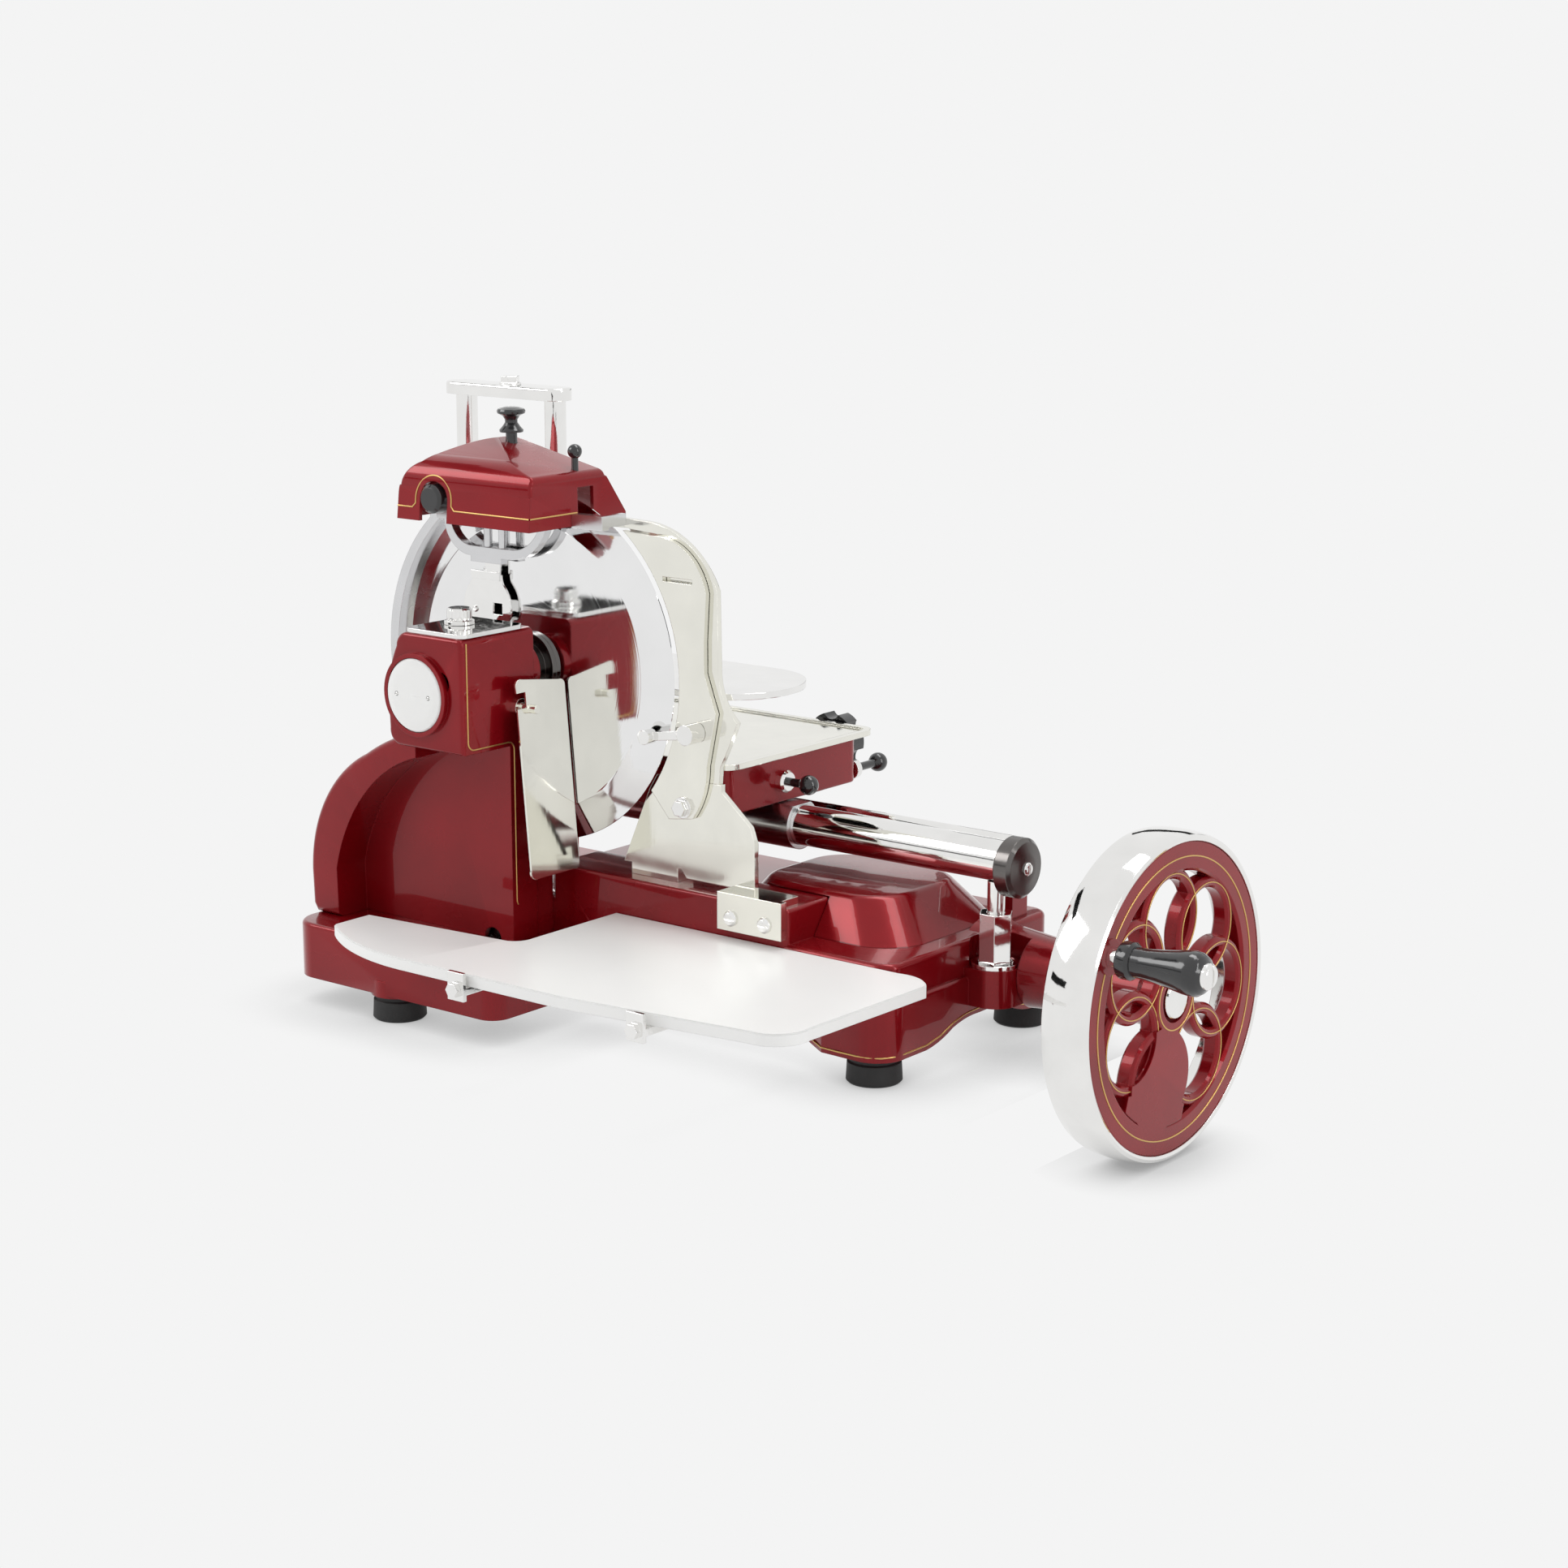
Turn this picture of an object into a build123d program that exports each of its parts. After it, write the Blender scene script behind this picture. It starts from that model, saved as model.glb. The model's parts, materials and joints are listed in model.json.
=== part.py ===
from build123d import *
from math import sin, cos, radians, hypot, sqrt
import os

os.makedirs("parts", exist_ok=True)

# Frame, in mm: z = 0 is the table that the rubber feet stand on, straight under the blade's axis.
# +X runs along the machine to the flywheel, +Y to the carriage at the back, +Z is up.
# The flywheel hangs over the table's edge, so its rim comes lower than the feet.

# ---- clearances ----
running_fit = 0.05      # radial gap of a shaft in its bearing
sliding_fit = 0.1       # radial gap of a slide or sleeve on its column
seat_gap = 0.3          # between pieces that stay apart
part_gap = 0.6          # moving pieces that pass each other

# ---- blade ----
blade_r = 125.0
blade_face_r = 102.0    # flat middle of the blade, inside the ground bevel
blade_z = 248.0
blade_dish = 7.7        # the flat middle lies this far in front of the cutting edge
blade_thick = 4.2
hub_r = 17.0
blade_shaft_r = 8.0

# ---- base casting ----
foot_r = 19.0
foot_h = 18.0
feet = {"front_right": (292.0, 5.0), "rear_right": (292.0, 177.0),
        "front_left": (-59.0, -87.0), "rear_left": (-59.0, 177.0)}
skirt_z = 20.0          # lower edge of the casting's skirt
wall = 6.0
base_left, base_right = -150.0, 318.0
bed_left = -46.0
base_front, base_back = -8.0, 188.0
plinth_front, plinth_right, plinth_z = -106.0, 52.0, 60.0
bed_z = 84.0            # top of the bed
beam_z = 108.0          # raised beam under the blade
beam_left, beam_right, beam_back = 16.0, 228.0, 42.0

# ---- flywheel and its shaft ----
shaft_y, shaft_z = 118.0, 59.6
shaft_r = 9.5
neck_right = 367.0      # where the cast neck ends
wheel_x = 454.0         # front face of the red disc
wheel_face_r = 105.0
wheel_rim_r = wheel_face_r + 6.2
wheel_rim_w = 36.0
web_thick = 14.0
ring_count = 7          # overlapping rings that make the spokes
ring_orbit = 0.52 * wheel_face_r     # circle that the rings are centred on
ring_r = 0.298 * wheel_face_r        # middle of each ring's bar
ring_bar = 7.6
ring_angle = 252.0      # the filled ring at rest, from +Y toward +Z
rim_band = 20.0         # width of the disc's outer band
wheel_hub_r = 24.5
crank_r, crank_angle = wheel_face_r - 11.2, 150.3

# ---- guide bar and carriage ----
bar_y, bar_z, bar_r = 92.0, 139.0, 14.2
bar_left, bar_right = -178.0, 338.0
post_x, post_seat_z = 328.0, 66.0
rail_y, rail_z, rail_r = 150.0, 134.0, 7.0
sleeve_left, sleeve_right, sleeve_wall = -40.0, 163.0, 3.4
roller_r, roller_w, roller_x, roller_pin_r = 8.0, 9.0, 35.0, 2.5
table_left, table_right = -152.0, 163.0
table_front, table_back = 12.0, 179.0
table_z = 194.0         # top of the steel table
table_thick = 4.0
frame_left, frame_right, frame_front, frame_back = -148.0, 150.0, 23.0, 175.0
frame_z0 = 154.4
frame_wall = 6.0
feed_rod_x, feed_rod_r, feed_rod_z = (-20.0, 90.0), 5.0, 173.0
feed_screw_x, feed_screw_r, feed_screw_z = 118.0, 4.0, 178.0
column_x = (-138.0, -50.0)
column_y, column_r, column_top = 75.0, 7.9, 424.0
press_z, press_thick = 236.5, 4.5

# ---- tower ----
tower_right, tower_back = 20.0, -27.0
nose_front, nose_left, nose_top, nose_z = -98.0, -42.0, 280.0, 200.0
panel_y, flank_y = -52.0, -80.0
tower_wall = 4.0
badge_x, badge_z, badge_r = -22.0, 238.0, 25.5

# ---- tray ----
tray_top, tray_thick = 82.0, 8.0
tray_arm_x = (100.0, 250.0)

# ---- drive inside ----
drive_pinion_r = 26.0   # on the flywheel's shaft
drive_teeth, crown_teeth, crown_r = 18, 14, 22.0
pinion_x = 200.0
crown_at = (225.0, shaft_y)
crown_z = shaft_z + drive_pinion_r + 0.5
sprocket_r, chain_thick, chain_w = 11.0, 2.2, 5.0
chain_y = -41.0
lay_x = 0.0


# ---------- helpers ----------
turns = {"x": Rot(0, 90, 0), "y": Rot(-90, 0, 0), "z": Rot(0, 0, 0)}


def block(x0, x1, y0, y1, z0, z1):
    return Pos((x0 + x1) / 2, (y0 + y1) / 2, (z0 + z1) / 2) * Box(x1 - x0, y1 - y0, z1 - z0)


def rod(axis, at, r, length):
    """A cylinder that starts at the point and runs along the axis."""
    return Pos(*at) * turns[axis] * Cylinder(r, length, align=(Align.CENTER, Align.CENTER, Align.MIN))


def cone(axis, at, r0, r1, length):
    return Pos(*at) * turns[axis] * Cone(r0, r1, length, align=(Align.CENTER, Align.CENTER, Align.MIN))


def turned(axis, at, profile):
    """A turned piece: the profile's points are (radius, distance along the axis)."""
    face = make_face(Polyline(*profile, close=True))
    solid = revolve(Plane(origin=(0, 0, 0), x_dir=(1, 0, 0), z_dir=(0, -1, 0)) * face, Axis.Z, 360)
    return Pos(*at) * turns[axis] * solid


def outline(start, *steps):
    """A closed flat face. A step is a point for a line, or (middle, end) for an arc."""
    edges, at = [], start
    for step in steps:
        if isinstance(step[0], (int, float)):
            edges.append(Line(at, step))
            at = step
        else:
            edges.append(ThreePointArc(at, step[0], step[1]))
            at = step[1]
    if hypot(at[0] - start[0], at[1] - start[1]) > 1e-6:
        edges.append(Line(at, start))
    return make_face(Wire(edges))


def along_y(face, y0, y1):
    """A face drawn in X and Z, filled from y0 to y1."""
    return extrude(Plane(origin=(0, y1, 0), x_dir=(1, 0, 0), z_dir=(0, -1, 0)) * face, y1 - y0)


def along_x(face, x0, x1):
    """A face drawn in Y and Z, filled from x0 to x1."""
    return extrude(Plane(origin=(x0, 0, 0), x_dir=(0, 1, 0), z_dir=(1, 0, 0)) * face, x1 - x0)


def along_z(face, z0, z1):
    return extrude(Pos(0, 0, z0) * face, z1 - z0)


def on_circle(r, degrees, cx=0.0, cy=0.0):
    return (cx + r * cos(radians(degrees)), cy + r * sin(radians(degrees)))


def top_rounded(solid, radius):
    return fillet(solid.edges().group_by(Axis.Z)[-1], radius)


def slotted_head(axis, at, r, height, way=1):
    """A round screw head standing out from the point, with a slot across it."""
    head = turned("z", (0, 0, 0), [(0, 0), (r, 0), (r, height * 0.4), (r * 0.75, height * 0.9),
                                   (r * 0.4, height), (0, height)])
    head -= Pos(0, 0, height) * Box(r * 2.2, r * 0.3, height * 0.7)
    flip = Rot(0, 0, 0) if way > 0 else Rot(180, 0, 0)
    return Pos(*at) * turns[axis] * flip * head


def hexagon(axis, at, across, length, bore=0.0):
    nut = extrude(RegularPolygon(across / 2, 6, major_radius=False), length)
    if bore:
        nut -= Cylinder(bore, 3 * length)
    return Pos(*at) * turns[axis] * nut


def gear(axis, at, tip_r, width, teeth, bore):
    """A toothed disc with straight, flat-topped teeth."""
    disc = Cylinder(tip_r, width, align=(Align.CENTER, Align.CENTER, Align.MIN))
    gap = 3.1 * tip_r / teeth
    for i in range(teeth):
        disc -= Rot(0, 0, 360 * i / teeth) * Pos(tip_r, 0, width / 2) * Box(gap * 1.2, gap, 2 * width)
    disc -= Cylinder(bore, 3 * width)
    return Pos(*at) * turns[axis] * disc


def save(name, *solids):
    whole = []
    for solid in solids:
        whole.extend(solid.solids())
    shape = whole[0] if len(whole) == 1 else Compound(children=whole)
    export_step(shape, f"parts/{name}.step")
    print(name, len(whole), round(sum(s.volume for s in whole)))


# ---------- base casting ----------
def base_plan(inset):
    left, right = base_left + inset, base_right - inset
    front, back = base_front + inset, base_back - inset
    step = plinth_right - inset
    low = plinth_front + inset
    return outline((left, low + 22), ((left + 6.4, low + 6.4), (left + 22, low)), (step - 14, low),
                   ((step - 4.1, low + 4.1), (step, low + 14)), (step, front - 14),
                   ((step + 4.1, front - 4.1), (step + 14, front)), (236, front),
                   ((251, front - 4), (266, front - 11)), (296, front - 12),
                   ((right - 6, front - 6), (right, front + 12)), (right, back - 18),
                   ((right - 5.3, back - 5.3), (right - 18, back)), (left + 18, back),
                   ((left + 5.3, back - 5.3), (left, back - 18)))


def plan_box(x0, x1, y0, y1, r, z0, z1):
    return along_z(Pos((x0 + x1) / 2, (y0 + y1) / 2) * RectangleRounded(x1 - x0, y1 - y0, r), z0, z1)


lower = top_rounded(along_z(base_plan(0), skirt_z, plinth_z), 3)
bed = top_rounded(plan_box(bed_left, base_right - 4, base_front, base_back - 6, 14, plinth_z - 4, bed_z), 4)
beam = top_rounded(plan_box(beam_left, beam_right, base_front, beam_back, 5, bed_z - 5, beam_z), 2.5)
base = lower + bed + beam
# cavity, open below
base -= along_z(base_plan(wall), skirt_z - 1, plinth_z - wall)
base -= plan_box(bed_left + wall, base_right - 4 - wall, base_front + wall, base_back - 6 - wall, 8,
                 plinth_z - wall - 1, bed_z - wall)
base -= plan_box(beam_left + wall, beam_right - wall, base_front + wall, beam_back - wall, 3,
                 bed_z - wall - 1, beam_z - wall)
# foot pads with a web to the nearest wall
shell = along_z(base_plan(1), 0, plinth_z)
for foot_x, foot_y in feet.values():
    to_back = foot_y > 100
    reach = base_back if to_back else foot_y - 24
    pad = rod("z", (foot_x, foot_y, foot_h), foot_r + 1, 12)
    pad += block(foot_x - 9, foot_x + 9, min(foot_y, reach), max(foot_y, reach), foot_h + 3, foot_h + 12)
    base += pad & (shell + rod("z", (foot_x, foot_y, 0), foot_r + 1, 60))
# the skirt arches up between the feet
def arch(length, rise):
    top = skirt_z + rise
    return outline((0, 0), (length, 0), (length, skirt_z), ((length - 16, skirt_z + rise * 0.25), (length - 30, skirt_z + rise * 0.7)),
                   ((length - 44, top - 0.6), (length - 60, top)), (60, top), ((44, top - 0.6), (30, skirt_z + rise * 0.7)),
                   ((16, skirt_z + rise * 0.25), (0, skirt_z)))


base -= along_y(Pos(76, 0) * arch(188, 12), base_front - 30, base_front + 20)
base -= along_y(Pos(-30, 0) * arch(290, 18), base_back - 20, base_back + 30)
base -= along_x(Pos(28, 0) * arch(124, 12), base_right - 20, base_right + 40)
base -= along_x(Pos(-62, 0) * arch(220, 16), base_left - 20, base_left + 20)
# nose at the right end: carries the bar's post in front and the flywheel's neck behind
nose = plan_box(300, post_x + 17, bar_y - 17, shaft_y + 24, 16.9, 40, post_seat_z)
nose += rod("x", (300, shaft_y, shaft_z), 30, 16)
base += nose & block(base_right - 10, 400, -200, 300, 0, 200) + (nose & block(200, base_right, -200, 300, 0, 200))
base -= rod("z", (post_x, bar_y, post_seat_z), 17.4, 60)
# openings: lay shaft and chain into the tower, shaft through the end wall, gears under the cover
base -= block(lay_x - 17, lay_x + 16.5, panel_y + 4, tower_back - 2, plinth_z - 20, plinth_z + 5)
base -= rod("y", (lay_x, panel_y, shaft_z), 9, 62)
base -= rod("x", (base_right - 30, shaft_y, shaft_z), shaft_r + 3, 60)
base -= plan_box(172, 265, beam_back + 1, shaft_y + 29, 12, bed_z - 12, bed_z + 1)
# bearing ribs under the bed
ribs = block(46, 56, shaft_y - 24, shaft_y + 24, 40, bed_z - wall + 1)
ribs += block(lay_x - 22, lay_x + 26, 30, 40, 40, bed_z - wall + 1)
base += ribs & block(bed_left + 2, 310, 0, 180, 30, bed_z - 3)
base -= rod("x", (40, shaft_y, shaft_z), shaft_r + running_fit, 24)
base -= rod("y", (lay_x, 24, shaft_z), 7 + running_fit, 24)
# side shelf for the guide bar's left saddle
base += block(bar_left + 28, bar_left + 58, bar_y - 20, bar_y + 20, plinth_z - 4, plinth_z + 4)
base = base.solids().sort_by(lambda s: s.volume)[-1]
save("base_casting", base)
foot_profile = [(0, 0), (foot_r - 1.5, 0), (foot_r, 1.5), (foot_r - 0.7, foot_h - 4), (foot_r - 2.2, foot_h - 3),
                (foot_r - 2.2, foot_h), (0, foot_h)]
save("rubber_feet", *[turned("z", (foot_x, foot_y, 0), foot_profile) for foot_x, foot_y in feet.values()])

# ---------- gear cover ----------
cover_top = 112.0
cover = loft([Pos(219, 88, bed_z) * RectangleRounded(158, 134, 34), Pos(216, 89, cover_top) * RectangleRounded(112, 96, 30)])
cover = top_rounded(cover, 8)
cover_space = loft([Pos(219, 89, bed_z - 1) * RectangleRounded(142, 118, 28), Pos(216, 89, cover_top - 5) * RectangleRounded(100, 84, 26)])
cover -= block(130, beam_right + 0.5, -20, beam_back + 0.5, bed_z - 1, beam_z + 0.5)
cover_space -= block(130, beam_right + 3, -20, beam_back + 3.5, bed_z - 2, beam_z + 6)
cover -= cover_space
for i in range(3):
    cover -= Pos(262 + 1.5 * i, 22 + 5.0 * i, 94 + 6.0 * i) * Rot(52, 0, 4) * Box(52, 2.0, 1.6)
# the stud that the crank gear turns on, hung from the cover's roof
cover += rod("z", (crown_at[0], crown_at[1], crown_z - 3), 5 - running_fit, cover_top - 4 - crown_z + 3)
cover += rod("z", (crown_at[0], crown_at[1], crown_z - 3), 8, 2.5)
cover = cover.solids().sort_by(lambda s: s.volume)[-1]
save("gear_cover", cover)

# ---------- tray and its two arms ----------
tray_back = base_front - seat_gap
tray_plan = outline((-54, -152), (-54, -119), (64, -109), ((74, -105), (77, -95)), (77, tray_back), (322, tray_back),
                    ((342, -11), (353, -22)), (351, -140), ((346, -160), (326, -168)), (187, -185), (49, -185),
                    ((-6, -177), (-54, -152)))
edge_step = 0.8
tray = along_z(tray_plan, tray_top - tray_thick, tray_top - edge_step)
tray += along_z(offset(tray_plan, -edge_step), tray_top - edge_step, tray_top)
save("drip_tray", tray)
arms = []
nuts = []
arm_z = tray_top - tray_thick
for arm_x in tray_arm_x:
    front = -188.5 if arm_x < 187 else -184.0
    arm = block(arm_x - 7, arm_x + 7, front, base_front, arm_z - 5, arm_z)
    arm += block(arm_x - 12, arm_x + 12, base_front - 4, base_front, plinth_z + 4, arm_z)
    arm += block(arm_x - 7, arm_x + 7, front - 3, front, arm_z - 9, tray_top + 2)
    arms.append(arm)
    nuts.append(hexagon("y", (arm_x, front - 7, arm_z - 1.5), 9, 4))
save("tray_arms", *arms, *nuts)

# ---------- tower ----------
nose_face = outline((tower_right, nose_z), (tower_right, nose_top - 5), ((tower_right - 1.5, nose_top - 1.5), (tower_right - 5, nose_top)),
                    (-34, nose_top), ((-40, nose_top - 3), (-43, nose_top - 10)), ((-51, 246), (-52, 232)),
                    (-51, 212), ((-48, 203), (-41, nose_z)))
nose = along_y(nose_face, nose_front, tower_back)
nose = fillet(nose.edges().group_by(Axis.Y)[0], 3)
tower_face = outline((tower_right, plinth_z), (tower_right, 205), (-48, 205), ((-74, 196), (-96, 184)),
                     ((-137, 149), (-155, 92)), (-154, plinth_z + 6), (-150, plinth_z))
inner_face = outline((-126, plinth_z - 1), (-127, 96), ((-106, 143), (-80, 170)), ((-64, 180), (-44, 188)),
                     (tower_right - 8, 189), (tower_right - 8, plinth_z - 1))
column = along_y(tower_face, panel_y, tower_back)
flank = along_y(tower_face, flank_y, panel_y + 1)
flank = fillet(flank.edges().group_by(Axis.Y)[0], 5)
flank -= along_y(inner_face, flank_y - 1, panel_y)
flank -= block(-44, 60, flank_y - 1, panel_y, plinth_z - 1, nose_z + 1)
tower = column + flank + nose
foot_back = block(-130, 17, tower_back - 1, base_front, plinth_z, 100)
tower += foot_back
tower += rod("y", (0, tower_back - 1, blade_z), hub_r + 3, 8)
# hollow, open at the foot and closed on top by the lid
in_nose = along_y(offset(nose_face, -tower_wall), nose_front + tower_wall, tower_back - tower_wall)
in_column = along_y(offset(tower_face, -tower_wall), panel_y + tower_wall, tower_back - tower_wall)
tower -= in_nose + block(-32, tower_right - 6, nose_front + 8, tower_back - 7, nose_top - 8, nose_top + 1)
tower -= in_column + block(-140, tower_right - tower_wall, panel_y + tower_wall, tower_back - tower_wall, plinth_z - 1, plinth_z + 9)
tower -= block(-42, tower_right - tower_wall, panel_y + tower_wall, tower_back - tower_wall, 180, 215)
tower -= block(-124, 17 - tower_wall, tower_back - tower_wall - 1, base_front - tower_wall, plinth_z - 1, 94)
tower -= rod("y", (0, nose_front - 1, blade_z), blade_shaft_r + running_fit, 100)
# bearing bosses inside the nose
boss = rod("y", (0, nose_front + tower_wall - 1, blade_z), 14, 12) - rod("y", (0, nose_front - 1, blade_z), blade_shaft_r + running_fit, 100)
tower += boss
tower += rod("y", (badge_x, nose_front - 3.5, badge_z), badge_r + 3.5, 5)
tower -= rod("y", (badge_x, nose_front - 4, badge_z), badge_r + 0.3, 4)
tower -= rod("y", (lay_x, panel_y, shaft_z), 8, 70)
tower = tower.solids().sort_by(lambda s: s.volume)[-1]
save("tower_body", tower)
badge_cap = turned("y", (badge_x, nose_front, badge_z),
                   [(0, -5.5), (badge_r - 6, -5.2), (badge_r - 1, -4.2), (badge_r, -3), (badge_r, 0), (0, 0)])
screw_holes = [rod("y", (badge_x + side * 15, nose_front - 8, badge_z), 1.6, 6) for side in (-1, 1)]
save("badge_cap", badge_cap - screw_holes[0] - screw_holes[1])
screws = [slotted_head("y", (badge_x + side * 15, nose_front - 2.0, badge_z), 1.5, 3.9, -1) for side in (-1, 1)]
lid_z = nose_top + 3.0
lid = plan_box(-36, 19, nose_front + 2, tower_back - 7, 6, nose_top, lid_z)
knob_at = (-16.0, -62.0)
lid -= rod("z", (knob_at[0], knob_at[1], nose_top - 1), 3 + running_fit, 10)
save("tower_lid", lid)
knob = turned("z", (knob_at[0], knob_at[1], lid_z), [(0, -8), (3, -8), (3, 0.2), (10.5, 0.2), (10.5, 2.6), (8.6, 3.6), (8.6, 10),
                                                  (7.4, 11.4), (0, 11.4)])
for i in range(18):
    knob -= Pos(knob_at[0], knob_at[1], lid_z + 7) * Rot(0, 0, 20 * i) * Pos(8.9, 0, 0) * Box(1.0, 1.0, 9)
save("lid_knob", knob)

# ---------- blade ----------
face_y = -blade_dish
blade = turned("y", (0, 0, blade_z), [(0, face_y), (blade_face_r, face_y), (blade_face_r + 1, face_y + 0.6), (blade_r - 0.2, -0.4),
                                      (blade_r, 0), (blade_r - 1, 0), (blade_face_r, face_y + blade_thick), (0, face_y + blade_thick)])
blade -= rod("y", (0, -20, blade_z), 5 + running_fit, 40)
save("blade", blade)
hub = turned("y", (0, 0, blade_z), [(0, tower_back + 8), (hub_r, tower_back + 8), (hub_r, face_y - 4), (hub_r + 7, face_y - 4),
                                    (hub_r + 7, face_y), (0, face_y)])
save("blade_hub", hub)
save("blade_bolt", slotted_head("y", (0, face_y + blade_thick, blade_z), 11, 2.6))
shaft_front = nose_front + 6
save("blade_shaft", rod("y", (0, shaft_front, blade_z), blade_shaft_r, tower_back + 8 - shaft_front),
     gear("y", (0, chain_y - 2.4, blade_z), sprocket_r, 4.8, 11, blade_shaft_r))

# ---------- chain and lay shaft ----------
loop_in, loop_out = sprocket_r + 0.4, sprocket_r + 0.4 + chain_thick
def loop_face(r):
    return outline((lay_x - r, shaft_z), ((lay_x, shaft_z - r), (lay_x + r, shaft_z)), (r, blade_z),
                   ((0, blade_z + r), (-r, blade_z)))


chain = along_y(loop_face(loop_out), chain_y - chain_w / 2, chain_y + chain_w / 2)
chain -= along_y(loop_face(loop_in), chain_y - chain_w, chain_y + chain_w)
link_pitch = 12.7
for i in range(1, int((blade_z - shaft_z) / link_pitch)):
    for side in (-1, 1):
        chain -= Pos(side * loop_out, chain_y, shaft_z + link_pitch * i) * Box(1.6, 2 * chain_w, 3.0)
save("drive_chain", chain)
lay_r = 7.0
bevel_r, pinion_r = 18.0, 9.0
lay_front = chain_y - 4
lay_back = shaft_y - bevel_r + 4


tooth_h = 1.4


def bevel(axis, at, r_wide, r_thin, width, teeth, bore):
    wheel = Cone(r_wide, r_thin, width, align=(Align.CENTER, Align.CENTER, Align.MIN))
    for i in range(teeth):
        wheel -= Rot(0, 0, 360 * i / teeth) * Pos(r_wide, 0, width / 2) * Box(tooth_h * 2, 3.1 * r_wide / teeth, 2 * width)
    wheel -= Cylinder(bore, 3 * width)
    return Pos(*at) * turns[axis] * wheel


bevel_mesh = 0.5        # the teeth are kept this far apart
save("lay_shaft", rod("y", (lay_x, lay_front, shaft_z), lay_r, lay_back - lay_front),
     gear("y", (lay_x, chain_y - 2.4, shaft_z), sprocket_r, 4.8, 11, lay_r),
     bevel("y", (lay_x, shaft_y - bevel_r - 5, shaft_z), pinion_r, pinion_r - 1.5, 5, 12, lay_r))
bevel_wheel = bevel("x", (lay_x + pinion_r + 5 + bevel_mesh, shaft_y, shaft_z), bevel_r, bevel_r - 1, 6, 24, shaft_r)

# ---------- drive shaft, neck and flywheel ----------
shaft_left = lay_x + pinion_r + 5 + bevel_mesh
save("drive_shaft", bevel_wheel, rod("x", (shaft_left, shaft_y, shaft_z), shaft_r, wheel_x - 4 - shaft_left))
save("drive_pinion", gear("x", (pinion_x, shaft_y, shaft_z), drive_pinion_r, 9, drive_teeth, shaft_r))
crown = gear("z", (crown_at[0], crown_at[1], crown_z), crown_r, 6, crown_teeth, 5)
crown += rod("z", (crown_at[0], crown_at[1] - 14, crown_z + 3), 4, 9)
save("crank_gear", crown)
neck = turned("x", (0, shaft_y, shaft_z), [(0, 316.5), (28, 316.5), (27.4, 330), (25, 352), (23.6, neck_right), (0, neck_right)])
neck -= block(300, post_x + 17.6, 60, bar_y + 17.4, post_seat_z - 0.3, 130)
neck -= plan_box(299, post_x + 17.2, bar_y - 17.2, shaft_y + 24.2, 17, 30, post_seat_z + 0.3)
neck -= rod("z", (post_x, bar_y, post_seat_z), 17.5, 60)
neck -= base
neck = neck.solids().sort_by(lambda s: s.volume)[-1]
neck -= rod("x", (300, shaft_y, shaft_z), shaft_r + running_fit, 100)
save("shaft_housing", neck)
collar_right = neck_right + part_gap + 13
save("shaft_collar", turned("x", (0, shaft_y, shaft_z), [(shaft_r, neck_right + part_gap), (19, neck_right + part_gap), (20.5, neck_right + 2),
                                                        (20.5, collar_right - 2), (19, collar_right), (shaft_r, collar_right)]))

web_back = wheel_x - web_thick


def ring_bar_profile(r, half, x0, x1):
    """A ring whose bar is rounded on the front: radii r - half to r + half."""
    return [(r - half, x0 + 1.5), (r - half + 1.2, x0), (r + half - 1.2, x0), (r + half, x0 + 1.5),
            (r + half, x1 - 2.4), (r + half - 1.6, x1 - 0.6), (r, x1), (r - half + 1.6, x1 - 0.6), (r - half, x1 - 2.4)]


inner_band_r = wheel_face_r - rim_band
disc = turned("x", (0, 0, 0), [(inner_band_r, web_back), (wheel_face_r, web_back), (wheel_face_r, wheel_x - 1),
                               (wheel_face_r - 1, wheel_x), (inner_band_r + 2, wheel_x), (inner_band_r, wheel_x - 2)])
half_bar = ring_bar / 2
filled_at = on_circle(ring_orbit, ring_angle)
for i in range(ring_count):
    y, z = on_circle(ring_orbit, ring_angle + 360 * i / ring_count)
    disc += turned("x", (0, y, z), ring_bar_profile(ring_r, half_bar, web_back + 1, wheel_x - 1))
before = on_circle(ring_orbit, ring_angle - 360 / ring_count)
after = on_circle(ring_orbit, ring_angle + 360 / ring_count)
fill_depth = web_thick - 1
outer_ring_r = ring_r + half_bar
sector = rod("x", (web_back + 1, filled_at[0], filled_at[1]), outer_ring_r, fill_depth)
wedge = rod("x", (web_back + 1, 0, 0), inner_band_r + 1, fill_depth)
wedge &= Rot(ring_angle, 0, 0) * Pos(0, inner_band_r - ring_orbit / 2, 0) * Box(2 * wheel_x, inner_band_r, 0.86 * inner_band_r)
for ring_at in (before, after):
    wedge -= rod("x", (web_back, ring_at[0], ring_at[1]), outer_ring_r - 1, web_thick + 2)
sector -= rod("x", (web_back, before[0], before[1]), ring_r - half_bar + 0.5, web_thick + 2)
disc += sector
disc += wedge
disc += turned("x", (0, 0, 0), [(0, web_back - 40), (wheel_hub_r - 5, web_back - 40), (wheel_hub_r - 3, web_back - 4), (wheel_hub_r, web_back),
                                (wheel_hub_r, wheel_x - 1.5), (wheel_hub_r - 1.5, wheel_x), (0, wheel_x)])
disc -= rod("x", (wheel_x - 6, 0, 0), 16, 10)
disc -= rod("x", (web_back - 60, 0, 0), shaft_r, 200)
crank_y, crank_z = on_circle(crank_r, crank_angle)
disc += rod("x", (web_back + 1, crank_y, crank_z), 12, web_thick)
disc &= rod("x", (web_back - 60, 0, 0), wheel_face_r, 100)
disc = disc.solids().sort_by(lambda s: s.volume)[-1]
save("flywheel_disc", Pos(0, shaft_y, shaft_z) * disc)
rim_x0, rim_x1 = wheel_x + 1.5 - wheel_rim_w, wheel_x + 1.5
rim_edge_r = wheel_face_r + 2
rim_profile = [(wheel_face_r, rim_x0 + 1), (rim_edge_r, rim_x0)]
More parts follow.
